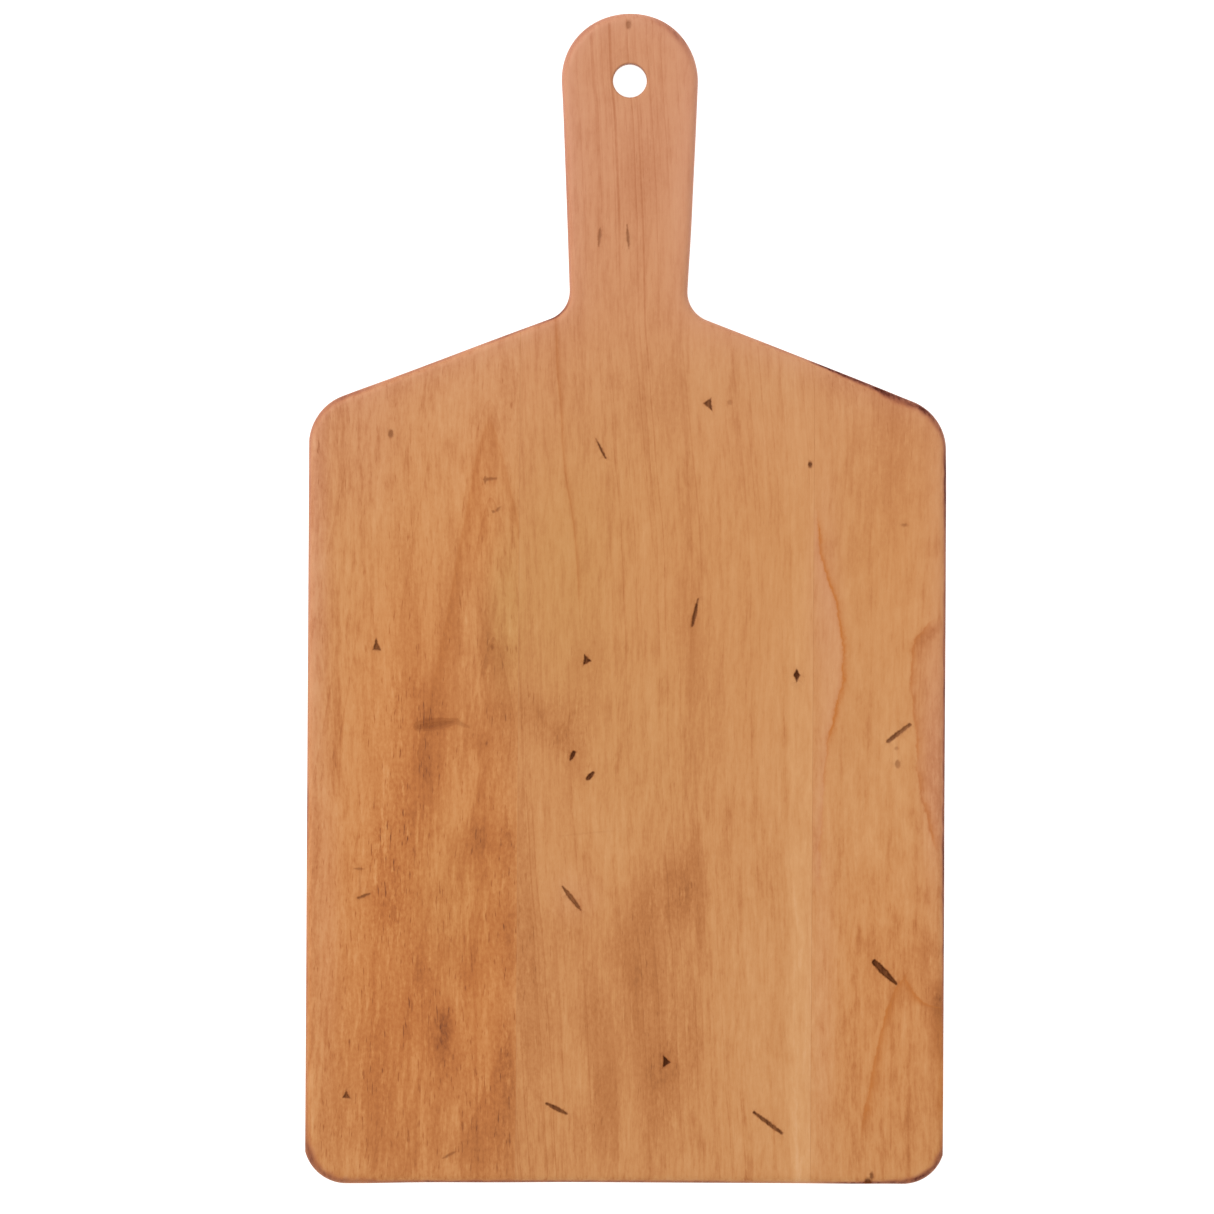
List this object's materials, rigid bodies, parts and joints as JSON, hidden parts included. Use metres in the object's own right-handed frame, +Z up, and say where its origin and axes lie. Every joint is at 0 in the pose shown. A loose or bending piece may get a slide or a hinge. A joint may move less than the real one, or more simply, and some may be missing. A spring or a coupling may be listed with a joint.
{
  "type": "cutting board",
  "caption": "Paddle-shaped wooden serving and cutting board, edge-glued from staves, with a tapered handle, sloping shoulders and a drilled hanging hole.",
  "frame": {"origin": "on the surface the board lies on, under the middle of its overall length and width", "axes": "+Z up out of the cutting face, +Y along the board towards the handle, +X across the board towards the narrow stave"},
  "size_m": [0.239, 0.438, 0.019],
  "materials": {
    "left_wood": "oiled, satin",
    "centre_wood": "oiled, satin",
    "right_wood": "oiled, satin",
    "dried_glue": "dried adhesive film"
  },
  "bodies": {
    "root": {"left_stave": "left_wood", "centre_stave": "centre_wood", "right_stave": "right_wood", "left_glue_line": "dried_glue", "right_glue_line": "dried_glue"}
  },
  "joints": []
}
